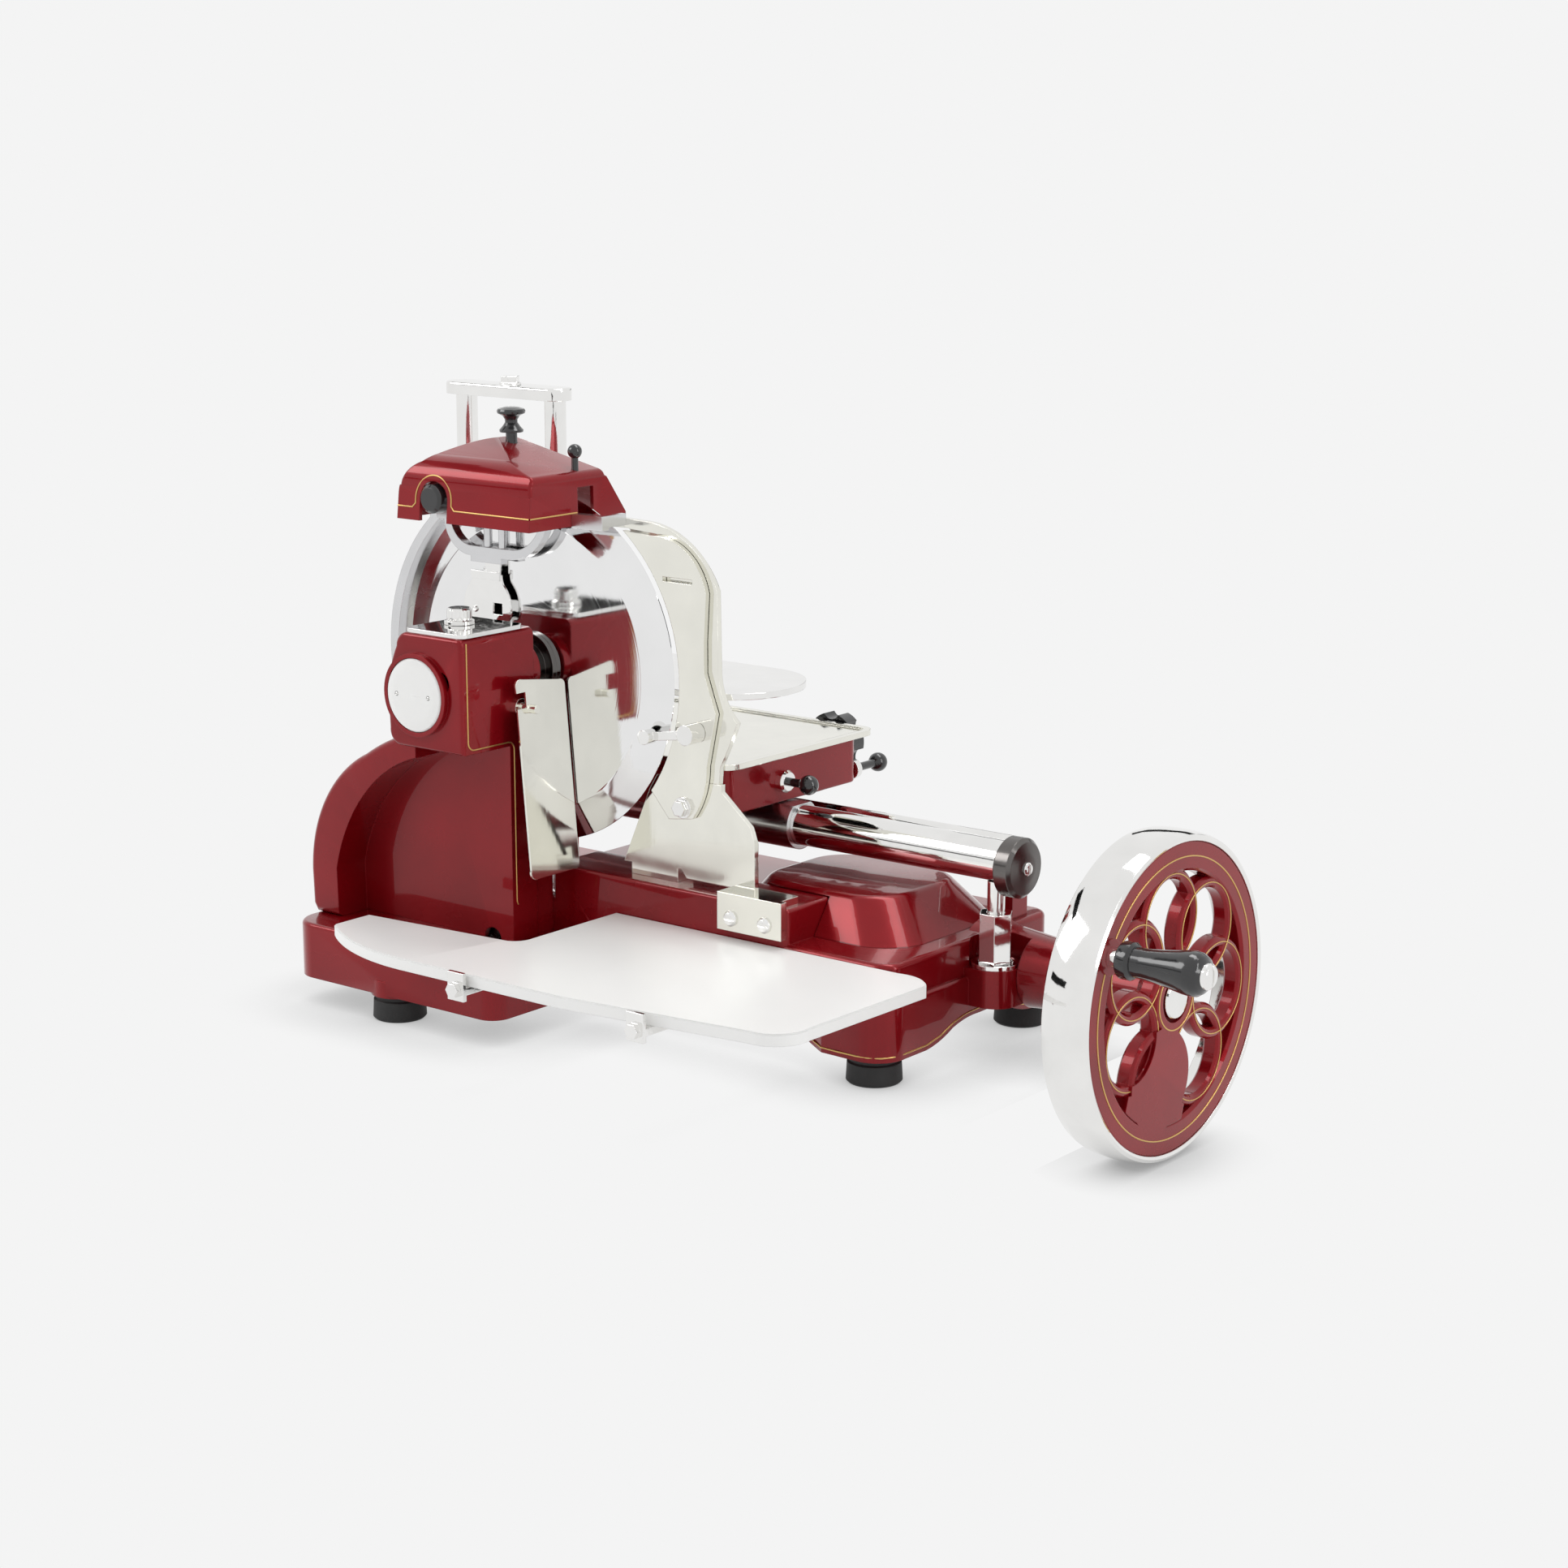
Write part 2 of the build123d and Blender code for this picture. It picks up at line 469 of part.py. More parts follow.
rim_steps = 8
for i in range(1, rim_steps):
    angle = 180 * i / rim_steps
    rim_profile.append((rim_edge_r + (wheel_rim_r - rim_edge_r) * sin(radians(angle)) ** 0.7,
                        (rim_x0 + rim_x1) / 2 - (wheel_rim_w / 2) * cos(radians(angle))))
rim_profile += [(rim_edge_r, rim_x1), (wheel_face_r, rim_x1 - 1)]
save("flywheel_rim", turned("x", (0, shaft_y, shaft_z), rim_profile))
save("flywheel_nut", turned("x", (wheel_x - 4, shaft_y, shaft_z), [(0, 0), (13.5, 0), (13.5, 4), (12.6, 5.4), (10, 6.2), (0, 6.6)]))

# ---------- crank handle ----------
crank_at_y, crank_at_z = shaft_y + crank_y, shaft_z + crank_z
pin_r = 5.0
grip_left = wheel_x + 9.6
grip_right = 524.0
save("crank_pin", turned("x", (0, crank_at_y, crank_at_z), [(0, wheel_x + 1), (7, wheel_x + 1), (7, grip_left - 0.6), (pin_r, grip_left - 0.6),
                                                          (pin_r, grip_right + 2), (0, grip_right + 2)]))
grip_bore = pin_r + running_fit
flange = turned("x", (0, crank_at_y, crank_at_z), [(grip_bore, grip_left), (11.8, grip_left), (12.3, grip_left + 1), (12.3, grip_left + 7.4),
                                                 (10.6, grip_left + 9.5), (grip_bore, grip_left + 9.5)])
g0 = grip_left + 9.5
grip_len = grip_right - g0
grip = turned("x", (0, crank_at_y, crank_at_z), [(grip_bore, g0), (9.8, g0), (9.9, g0 + 0.15 * grip_len), (11, g0 + 0.35 * grip_len),
                                               (12.6, g0 + 0.55 * grip_len), (14, g0 + 0.72 * grip_len), (14.5, g0 + 0.82 * grip_len),
                                               (14, g0 + 0.9 * grip_len), (12, g0 + 0.965 * grip_len), (9, grip_right), (grip_bore, grip_right)])
save("crank_grip", grip + flange)
cap = turned("x", (0, crank_at_y, crank_at_z), [(grip_bore, grip_right), (8.5, grip_right), (8.5, grip_right + 2.2), (7, grip_right + 4), (3, grip_right + 5),
                                              (0, grip_right + 5), (0, grip_right + 2.6), (grip_bore, grip_right + 2.6)])
cap -= Pos(grip_right + 5, crank_at_y, crank_at_z) * Box(2.4, 2.4, 20)
save("grip_cap", cap)

# ---------- guide bar, post and rear rail ----------
bar = rod("x", (bar_left, bar_y, bar_z), bar_r, bar_right - bar_left)
bar -= block(bar_left - 1, bar_right + 1, bar_y - 1.5, bar_y + 1.5, bar_z - bar_r - 1, bar_z - bar_r + 1.5)
save("guide_bar", bar)
save("bar_cap", turned("x", (bar_right, bar_y, bar_z - 2.5), [(0, 0), (19.5, 0), (20.5, 1), (20.5, 11), (18, 13.5), (9, 14.5), (0, 14.5)]))
screws.append(slotted_head("x", (bar_right + 14.5, bar_y, bar_z - 2.5), 4.6, 2.4))
save("bar_post", rod("z", (post_x, bar_y, post_seat_z), 6, bar_z - bar_r - post_seat_z),
     rod("z", (post_x, bar_y, post_seat_z), 16.4, 3) - rod("z", (post_x, bar_y, 0), 6, 200),
     hexagon("z", (post_x, bar_y, post_seat_z + 3), 21, 34, 6.0))
saddle = block(bar_left + 4, bar_left + 26, bar_y - 18, bar_y + 18, plinth_z - 20, bar_z)
saddle -= rod("x", (bar_left - 10, bar_y, bar_z), bar_r, 60)
saddle += block(bar_left + 24, base_left + 1, bar_y - 18, bar_y + 18, plinth_z - 20, plinth_z - 8) - block(base_left, 0, 0, 200, 0, 200)
saddle += block(bar_left + 24, bar_left + 50, bar_y - 18, bar_y + 18, plinth_z + 4, plinth_z + 12)
rail_left, rail_right = -128.0, 308.0
save("rear_rail", rod("x", (rail_left, rail_y, rail_z), rail_r, rail_right - rail_left))
feet_of_rail = []
for foot_x, floor in ((-116.0, plinth_z), (302.0, bed_z)):
    pillar = block(foot_x - 6, foot_x + 6, rail_y - 9, rail_y + 9, floor, rail_z)
    feet_of_rail.append(pillar - rod("x", (foot_x - 20, rail_y, rail_z), rail_r, 40))
save("rail_supports", saddle, *feet_of_rail)

# ---------- carriage ----------
sleeve = rod("x", (sleeve_left, bar_y, bar_z), bar_r + sleeve_wall, sleeve_right - sleeve_left)
sleeve += block(sleeve_left, frame_right - 14, bar_y - 12, bar_y + 12, bar_z + 10, feed_rod_z + 9)
for rod_x in feed_rod_x:
    sleeve += block(rod_x - 14, rod_x + 14, bar_y - 20, bar_y + 20, frame_z0 + 4, feed_rod_z + 9)
roller_z = rail_z + rail_r + 0.1 + roller_r
fork_gap = roller_w / 2 + part_gap      # from the roller's middle to each cheek
fork_half = fork_gap + 4.4
fork_z0, fork_z1 = rail_z + rail_r + 3.0, roller_z + roller_r + 5.9
sleeve += block(roller_x - 10, roller_x + 10, bar_y, rail_y + fork_half, fork_z0, fork_z1)
sleeve -= block(roller_x - 11, roller_x + 11, rail_y - fork_gap, rail_y + fork_gap,
                fork_z0 - 1, roller_z + roller_r + 0.9)
sleeve -= rod("x", (sleeve_left - 1, bar_y, bar_z), bar_r + sliding_fit, 400)
for rod_x in feed_rod_x:
    sleeve -= rod("y", (rod_x, 0, feed_rod_z), feed_rod_r + sliding_fit, 200)
sleeve -= rod("y", (feed_screw_x, 0, feed_screw_z), feed_screw_r + sliding_fit, 200)
sleeve -= rod("y", (roller_x, rail_y - fork_half - 1, roller_z), roller_pin_r, 2 * fork_half + 2)
sleeve -= block(frame_right - 9, sleeve_right + 1, 0, 200, frame_z0 - 0.6, 200)
sleeve = sleeve.solids().sort_by(lambda s: s.volume)[-1]
save("carriage_slide", sleeve, rod("y", (roller_x, rail_y - fork_half, roller_z), roller_pin_r, 2 * fork_half))
roller = rod("y", (roller_x, rail_y - roller_w / 2, roller_z), roller_r, roller_w)
roller -= rod("y", (roller_x, rail_y - roller_w, roller_z), roller_pin_r + running_fit, 2 * roller_w)
save("carriage_roller", roller)

# ---------- table ----------
frame = plan_box(frame_left, frame_right, frame_front, frame_back, 10, frame_z0, table_z - table_thick)
frame = fillet(frame.edges().group_by(Axis.Z)[0], 1.5)
frame -= plan_box(frame_left + frame_wall, frame_right - frame_wall, frame_front + frame_wall, frame_back - frame_wall, 5,
                  frame_z0 - 1, table_z - table_thick - 4)
frame -= rod("y", (feed_screw_x, frame_back - 20, feed_screw_z), feed_screw_r + running_fit, 40)
rods = [rod("y", (rod_x, frame_front + frame_wall, feed_rod_z), feed_rod_r, frame_back - frame_front - 2 * frame_wall) for rod_x in feed_rod_x]
save("table_frame", frame, *rods)
plate = plan_box(table_left, table_right, table_front, table_back, 12, table_z - table_thick, table_z)
plate -= plan_box(table_left + 5, table_right - 5, table_front + 5, table_back - 5, 8, table_z - 1.5, table_z + 1)
save("table_plate", plate)


def lobed_knob(axis, at, r, width, lobes, bore):
    body = Cylinder(r, width, align=(Align.CENTER, Align.CENTER, Align.MIN))
    for i in range(lobes):
        body -= Rot(0, 0, 360 * (i + 0.5) / lobes) * Pos(r * 1.12, 0, width / 2) * Cylinder(r * 0.34, 2 * width)
    body += Pos(0, 0, width - 0.5) * Cylinder(r * 0.45, 3, align=(Align.CENTER, Align.CENTER, Align.MIN))
    if bore:
        body -= Cylinder(bore, 6 * width)
    return Pos(*at) * turns[axis] * body


save("feed_knob", rod("y", (feed_screw_x, 66, feed_screw_z), feed_screw_r, frame_back + 8 - 66),
     lobed_knob("y", (feed_screw_x, frame_back + 8, feed_screw_z), 21, 12, 6, 0))
lock_at = (frame_right, 85.0, 170.0)
lever = rod("x", (frame_right + 7, lock_at[1], lock_at[2]), 3, 12)
ball = Pos(frame_right + 24, lock_at[1], lock_at[2]) * Sphere(7)
save("front_lock_lever", lever + ball)
lock_b = (142.0, frame_back, 161.5)
save("lock_bosses", turned("x", lock_at, [(0, 0), (8, 0), (8, 5), (6.5, 7), (0, 7)]),
     turned("y", lock_b, [(0, 0), (7, 0), (7, 5), (5.5, 7), (0, 7)]))
save("rear_lock_lever", rod("y", (lock_b[0], frame_back + 7, lock_b[2]), 3, 22) + Pos(lock_b[0], frame_back + 33, lock_b[2]) * Sphere(7))

# ---------- food clamp ----------
columns = [rod("z", (x, column_y, table_z - 1.5), column_r, column_top - table_z + 1.5) for x in column_x]
rings = [rod("z", (x, column_y, table_z), column_r + 5, 7) - rod("z", (x, column_y, 0), column_r, 900) for x in column_x]
save("clamp_columns", *columns, *rings)
bridge = plan_box(column_x[0] - 16, column_x[1] + 12, column_y - 12, column_y + 12, 11.9, column_top, column_top + 9)
nut_x = (column_x[0] + column_x[1]) / 2
save("clamp_bridge", top_rounded(bridge, 2), hexagon("z", (nut_x, column_y, column_top + 9), 12, 6) + rod("z", (nut_x, column_y, column_top + 9), 8, 1.2))
slide_z = press_z + press_thick
press = plan_box(column_x[0] - 17, column_x[1] + 20, column_y - 15, column_y + 15, 8, slide_z, slide_z + 24)
for x in column_x:
    press += rod("z", (x, column_y, slide_z), column_r + 6, 36)
for x in column_x:
    press -= rod("z", (x, column_y, 0), column_r + sliding_fit, 900)
save("press_slide", press)
tongue_left, tongue_right, tongue_front, tongue_back = -66.0, 172.0, 15.0, 120.0
tongue_face = outline((tongue_left + 10, tongue_front), (tongue_right - 46, tongue_front),
                      ((tongue_right - 10, tongue_front + 18), (tongue_right, tongue_front + 52)),
                      ((tongue_right - 12, tongue_back - 20), (tongue_right - 50, tongue_back)), (tongue_left + 10, tongue_back),
                      ((tongue_left + 2.9, tongue_back - 2.9), (tongue_left, tongue_back - 10)), (tongue_left, tongue_front + 10),
                      ((tongue_left + 2.9, tongue_front + 2.9), (tongue_left + 10, tongue_front)))
tongue = along_z(tongue_face, press_z, slide_z)
for x in column_x:
    tongue -= rod("z", (x, column_y, 0), column_r + 1, 900)
spikes = []
for i in range(6):
    for j in range(2):
        spikes.append(cone("z", (-20 + 30 * i, 45 + 40 * j, press_z - 8), 0.4, 2, 8))
save("press_plate", tongue, *spikes)
save("press_knob", lobed_knob("y", (nut_x, column_y + 15 + 8, slide_z + 12), 14, 10, 5, 0) + rod("y", (nut_x, column_y + 15, slide_z + 12), 4, 8))

# ---------- guards round the blade ----------
cover_z = blade_z + blade_r - 22.0      # lower edge of the sharpener's hood
guard_in = blade_r + 3.0
low_angle, high_angle = -37.0, 52.0
g_low = on_circle(guard_in, low_angle, 0, blade_z)
g_high = on_circle(guard_in, high_angle, 0, blade_z)
gauge_y0, gauge_y1 = 1.0, 4.8
guard_y0, guard_y1 = 5.3, 9.6


def past(x, z):
    """A point so far past the blade's right side, and so far above its axis."""
    return (guard_in + x, blade_z + z)


gauge_face = outline(g_high, past(-25, 99.5), (past(9, 89), past(24, 64)), past(22, 32), past(22, 10),
                     (past(27, -4), past(32, -17)), past(24, -54), (past(20, -76), past(11, -92)), past(-10, -95),
                     g_low, (on_circle(guard_in, 7, 0, blade_z), g_high))
gauge = along_y(gauge_face, gauge_y0, gauge_y1)
gauge -= block(guard_in - 14, guard_in + 12, gauge_y0 - 1, gauge_y1 + 1, blade_z + 69.5, blade_z + 72.5)
stud_at = past(3, -85)
save("gauge_plate", gauge)
guard_r = guard_in + 2
plate_low, plate_high = -66.0, 102.0     # the plate's lower and upper corner, from the blade's axis
guard_low = (sqrt(guard_r ** 2 - plate_low ** 2), blade_z + plate_low)
guard_high = (sqrt(guard_r ** 2 - plate_high ** 2), blade_z + plate_high)
guard_face = outline(past(-66, plate_high), past(-66, 109), past(-33, 108), (past(6, 95), past(30, 66)), past(31, 10),
                     (past(38, -12), past(47, -22)), (past(41, -36), past(32, -54)), past(31, plate_low), guard_low,
                     (on_circle(guard_r, 5, 0, blade_z), guard_high))
guard = along_y(guard_face, guard_y0, guard_y1)
save("guard_plate", guard)
slide_rod_r = 4.0
rod_back = 21.0
gauge_rod = rod("y", (stud_at[0], gauge_y1, stud_at[1]), slide_rod_r, rod_back - gauge_y1)
save("gauge_bolt", gauge_rod, rod("y", (stud_at[0], gauge_y0 - 1.5, stud_at[1]), 7.5, 1.5) + hexagon("y", (stud_at[0], gauge_y0 - 6, stud_at[1]), 10, 4.5))
lever_at, lever_tip = past(16, -31), past(-17, -36)
boss = rod("y", (lever_at[0], gauge_y0 - 14, lever_at[1]), 7, 13.7)
mid = ((lever_at[0] + lever_tip[0]) / 2, (lever_at[1] + lever_tip[1]) / 2)
reach = hypot(lever_at[0] - lever_tip[0], lever_at[1] - lever_tip[1])
lever = Pos(mid[0], gauge_y0 - 11, mid[1]) * Rot(0, -8, 0) * Box(reach, 4, 6)
lever += rod("y", (lever_tip[0], gauge_y0 - 18, lever_tip[1]), 5, 9)
save("gauge_lever", boss + lever)

bracket_face = outline(past(-31, -77), (73, beam_z + 8), (125, beam_z + 10), (130, beam_z + 4), (190, beam_z + 4),
                       past(62, -103), past(58, -92), past(33, -71), past(33, plate_low), past(-24, plate_low))
bracket = along_y(bracket_face, guard_y0, guard_y1)
bracket += block(80, 122, guard_y0, guard_y1 + 12, beam_z, beam_z + 12)
bracket += block(173, 224, base_front - 6, guard_y1, beam_z, beam_z + 6)
bracket += block(173, 228, base_front - 6, base_front, beam_z - 20, beam_z + 6)
bracket += rod("y", (stud_at[0], guard_y0, stud_at[1]), 9, 12)
bracket -= rod("y", (stud_at[0], 0, stud_at[1]), slide_rod_r + sliding_fit, 60)
save("guard_bracket", bracket)
screws += [slotted_head("y", (x, base_front - 6, 97), 5.5, 3.2, -1) for x in (185, 214)]

ring_r0, ring_r1 = blade_r + 3.0, blade_r + 9.0


def ring_point(r, degrees):
    return on_circle(r, degrees, 0, blade_z)


guard_ring_face = outline(ring_point(ring_r0, 206), (ring_point(ring_r0, 165), ring_point(ring_r0, 126.5)),
                          (-84, cover_z + 15), (-75, cover_z + 15), (-75, cover_z + 15.5), (-92, cover_z + 15.5),
                          ring_point(ring_r1 + 0.4, 133.8), (ring_point(ring_r1 + 2, 165), ring_point(ring_r1 + 1, 206)))
guard_ring = along_y(guard_ring_face, -11, 7)
ring_end_x = ring_point(ring_r1, 206)[0]
guard_ring += block(ring_end_x - 5.6, ring_end_x + 12.4, tower_back, -9, 172, 192) & along_y(tower_face, tower_back, 0)
guard_ring = guard_ring.solids().sort_by(lambda s: s.volume)[-1]
save("ring_guard", guard_ring)

# ---------- deflector ----------
sheet_face = outline((-9.5, 112), (-9.5, 238), ((-11, 242), (-15, 243)), (-52, 248), ((-57, 247), (-58, 242)), (-58, 116), ((-57, 110), (-52, 109)),
                     (-15, 109), ((-10.5, 109.5), (-9.5, 112)))
sheet = along_x(sheet_face, 0, 1.6)
sheet -= block(-1, 3, -60, -49, 228, 239)
sheet = Pos(31.5, 0, 236) * Rot(0, -5.2, 0) * Pos(0, 0, -236) * sheet
pin = rod("x", (tower_right, -45, 227), 3, 20) + rod("x", (tower_right, -45, 227), 6, 5)
save("deflector", sheet, pin - sheet)

# ---------- sharpener ----------
# Heights here are measured from the hood's lower edge; the pieces are lifted to it when they are saved.
lift = Pos(0, 0, cover_z)
hood_wall = 3.0
hood_left, hood_right, hood_front, hood_back = -75.0, 50.0, -61.0, 37.0
front_face = outline((hood_left, 0), (-74.5, 17), ((-70, 31), (-58, 40)), ((-40, 51), (-20, 56)), (46, 37),
                     ((49, 35), (49.6, 31)), (hood_right, 0))
side_face = outline((hood_front, 0), (-59, 23), ((-55, 38), (-44, 45)), (-14, 56.5), ((-4, 57), (4, 50)),
                    (hood_back, 5), (hood_back, 0))
hood = along_y(front_face, hood_front, hood_back) & along_x(side_face, hood_left, hood_right)
hood = fillet([e for e in hood.edges() if e.center().Z > 21], 2.2)
inner_front = offset(front_face, -hood_wall)
inner_side = offset(side_face, -hood_wall)
hood -= along_y(inner_front, hood_front - 9, hood_back + 13) & along_x(inner_side, hood_left - 5, hood_right + 10)
hood -= plan_box(hood_left + hood_wall, hood_right - hood_wall, hood_front + hood_wall, hood_back - hood_wall, 2,
                 -1, hood_wall + 2) & along_x(side_face, hood_left - 5, hood_right + 10)
arch_x, arch_z, arch_r = -40.5, 15.0, 13.0
hood -= rod("y", (arch_x, hood_front - 9, arch_z), arch_r, 20)
hood -= block(arch_x - arch_r, arch_x + arch_r, hood_front - 9, hood_front + 11, -1, arch_z)
hood -= block(hood_left - 5, hood_right + 10, -12, 4, -1, 26)
top_at, top_stem_r = (-11.0, -12.0), 4.0
side_at, side_stem_r = (44.0, -8.0), 2.4
hood -= rod("z", (top_at[0], top_at[1], 39), top_stem_r + running_fit, 30)
hood -= rod("z", (side_at[0], side_at[1], 29), side_stem_r + running_fit, 30)
hood = hood.solids().sort_by(lambda s: s.volume)[-1]
save("sharpener_cover", lift * hood)
save("mushroom_knob", lift * turned("z", (top_at[0], top_at[1], 0), [
    (0, 35), (top_stem_r, 35), (top_stem_r, 60), (8.2, 60), (8.4, 61.5), (6.2, 63.9), (4.4, 66.5), (4.4, 68.5), (6, 71.1),
    (9.6, 72.9), (10, 74.5), (9.2, 75.9), (5, 77.1), (0, 77.5)]))
side_stem_z, side_ball_z = 31.0, 50.0
save("side_knob", lift * (rod("z", (side_at[0], side_at[1], side_stem_z), side_stem_r, side_ball_z - side_stem_z)
                          + Pos(side_at[0], side_at[1], side_ball_z) * Sphere(5)))
saddle_y0, saddle_y1 = -20.0, -13.0
cradle_face = outline((-70, 2), (-70, -5), ((-62, -21), (-45, -28)), (-45, -32), (-16, -32), (-16, -28), (-8, -28),
                      ((14, -21), (26, -5)), (26, 2), (20, 2), (20, -4), ((10, -16), (-8, -21)), (-45, -21),
                      ((-57, -16), (-64, -4)), (-64, 2))
cradle = along_y(cradle_face, saddle_y0, saddle_y1)
cradle -= block(-80, 60, saddle_y0 - 1, saddle_y1 + 1, 0, 9)
cradle += block(hood_left + hood_wall, hood_right - hood_wall, saddle_y0, saddle_y1, 0, 4)
for post in (-31, -17):
    cradle += rod("z", (post, -16.5, -21), 3, 21)
shield_y = -11.5
shield_face = outline((-59, -66), ((-57.5, -72), (-53, -75)), (-20, -75), ((-15.5, -72), (-14, -66)),
                      ((-15.2, -57), (-20, -49)), ((-22, -46), (-22.5, -41)), (-50.5, -41), ((-51, -46), (-53, -49)),
                      ((-57.8, -57), (-59, -66)))
shield = along_y(shield_face, shield_y - 1.5, shield_y) - block(-31, -22, shield_y - 3, shield_y + 1, -69, -61)
shield += block(-50, -23, shield_y - 3.4, shield_y - 1.5, -45, -39)
shield += block(-38, -24, shield_y - 1.5, shield_y, -42, -23)
save("stone_shield", lift * shield)
screws.append(lift * slotted_head("y", (-48, shield_y - 1.5, -67), 2.4, 1.6, -1))
stone_y, stone_z, stone_r = -30.0, 16.0, 11.0
save("front_stone", lift * rod("y", (arch_x, stone_y, stone_z), stone_r, 6))
push_rod_r = 4.0
save("sharpening_knob", lift * turned("y", (arch_x, stone_y, stone_z), [(0, -34), (8, -34), (10, -32), (10.4, -24), (9, -22),
                                                                        (push_rod_r, -21), (push_rod_r, 0), (0, 0)]))
guide_y0, guide_y1 = stone_y - 12, stone_y - 8
guide = block(arch_x - 10, arch_x + 10, guide_y0, guide_y1, 0, 26)
guide -= rod("y", (arch_x, stone_y - 20, stone_z), push_rod_r + running_fit, 30)
for side in (-1, 1):
    guide += block(arch_x + side * 13.5 - 1.5, arch_x + side * 13.5 + 1.5, guide_y0, saddle_y0, 0, 4)
guide += block(arch_x - 15, arch_x + 15, guide_y0, guide_y1, 0, 4)
link_right = guard_in - 50
link = block(hood_right, link_right, saddle_y0 + 1, saddle_y1 + 1, -1, 9)
link += block(link_right - 4.5, link_right, saddle_y0 + 1, guard_y0, 1, 9)
save("stone_cradle", lift * (cradle + guide), lift * link)
back_stone_x, back_stone_y = top_at[0] - 12, 8.0
arm = rod("y", (back_stone_x, back_stone_y + 5, 11), 3, 27) & along_x(inner_side, hood_left - 5, hood_right + 10)
save("back_stone", lift * rod("y", (back_stone_x, back_stone_y, 11), stone_r, 5), lift * arm)
save("slotted_screws", *screws)
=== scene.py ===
import json
from math import cos, sin, radians
import bpy
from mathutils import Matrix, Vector


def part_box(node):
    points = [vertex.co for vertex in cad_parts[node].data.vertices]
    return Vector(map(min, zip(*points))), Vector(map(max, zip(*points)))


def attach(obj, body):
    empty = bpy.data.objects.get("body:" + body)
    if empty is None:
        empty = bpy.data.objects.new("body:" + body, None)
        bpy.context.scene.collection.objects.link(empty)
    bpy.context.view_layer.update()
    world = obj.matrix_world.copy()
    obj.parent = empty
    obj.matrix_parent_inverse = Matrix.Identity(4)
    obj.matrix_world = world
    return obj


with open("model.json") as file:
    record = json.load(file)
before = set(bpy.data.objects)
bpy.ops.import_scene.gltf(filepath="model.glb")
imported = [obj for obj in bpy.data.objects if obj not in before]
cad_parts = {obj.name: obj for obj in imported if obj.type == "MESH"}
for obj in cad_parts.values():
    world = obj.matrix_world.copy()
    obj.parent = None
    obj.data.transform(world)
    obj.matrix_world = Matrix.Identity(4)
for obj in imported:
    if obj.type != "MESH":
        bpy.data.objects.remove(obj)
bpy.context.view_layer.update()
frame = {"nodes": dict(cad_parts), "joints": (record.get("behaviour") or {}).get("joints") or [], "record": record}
nodes = frame["nodes"]
print("frame loaded:", len(nodes), "nodes")

mm = 0.001
jointAt = {joint["name"]: joint.get("pos_m") for joint in frame["joints"]}
wheelAt = jointAt["flywheel_spin"]
bladeAt = jointAt["blade_spin"]


# low and high corner of a CAD node, in mm
def nodeBox(node):
    return [[value / mm for value in corner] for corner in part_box(node)]


# colours that a user would change
look = {"enamel": (0.27, 0.0025, 0.007), "enamelDark": (0.20, 0.0018, 0.005), "gold": (0.72, 0.47, 0.17),
        "chrome": (0.89, 0.885, 0.87), "stainless": (0.87, 0.86, 0.79), "bladeSteel": (0.88, 0.88, 0.88),
        "darkSteel": (0.16, 0.15, 0.145), "alloy": (0.72, 0.72, 0.73), "stone": (0.30, 0.27, 0.22),
        "board": (0.88, 0.88, 0.86), "badge": (0.86, 0.86, 0.84),
        "black": (0.012, 0.012, 0.013), "rubber": (0.018, 0.018, 0.018)}


# node material helpers
def newMaterial(name):
    mat = bpy.data.materials.new(name)
    mat.use_nodes = True
    tree = mat.node_tree
    return mat, tree, tree.nodes["Principled BSDF"]


def add(tree, kind, **values):
    node = tree.nodes.new(kind)
    for key, value in values.items():
        if key in node.inputs.keys():
            node.inputs[key].default_value = value
        else:
            setattr(node, key, value)
    return node


def setInputs(node, values):
    for key, value in values.items():
        node.inputs[key].default_value = value


def noise(tree, scale, detail=3.0, stretch=None):
    coords = add(tree, "ShaderNodeTexCoord")
    texture = add(tree, "ShaderNodeTexNoise", Scale=scale, Detail=detail)
    place = coords.outputs["Object"]
    if stretch:
        mapping = add(tree, "ShaderNodeMapping", Scale=stretch)
        tree.links.new(place, mapping.inputs["Vector"])
        place = mapping.outputs["Vector"]
    tree.links.new(place, texture.inputs["Vector"])
    return texture.outputs["Fac"]


def ramp(tree, source, low, high, start=0.3, end=0.7):
    node = add(tree, "ShaderNodeMapRange")
    setInputs(node, {"From Min": start, "From Max": end, "To Min": low, "To Max": high})
    tree.links.new(source, node.inputs["Value"])
    return node.outputs["Result"]


# sockets 6, 7 and output 2 are the mix node's colours
def mixColour(tree, factor, first, second):
    node = add(tree, "ShaderNodeMix", data_type="RGBA")
    tree.links.new(factor, node.inputs["Factor"])
    for socket, value in ((node.inputs[6], first), (node.inputs[7], second)):
        if isinstance(value, tuple):
            socket.default_value = (*value, 1.0)
        else:
            tree.links.new(value, socket)
    return node.outputs[2]


# two tones of one colour in soft patches
def mottled(tree, marks, first, second):
    return mixColour(tree, ramp(tree, marks, 0.0, 1.0), first, second)


def bump(tree, shader, source, height, edge=0.0):
    node = add(tree, "ShaderNodeBump", Strength=1.0, Distance=height)
    tree.links.new(source, node.inputs["Height"])
    if edge:
        rounded = add(tree, "ShaderNodeBevel", samples=4, Radius=edge)
        tree.links.new(rounded.outputs["Normal"], node.inputs["Normal"])
    tree.links.new(node.outputs["Normal"], shader.inputs["Normal"])


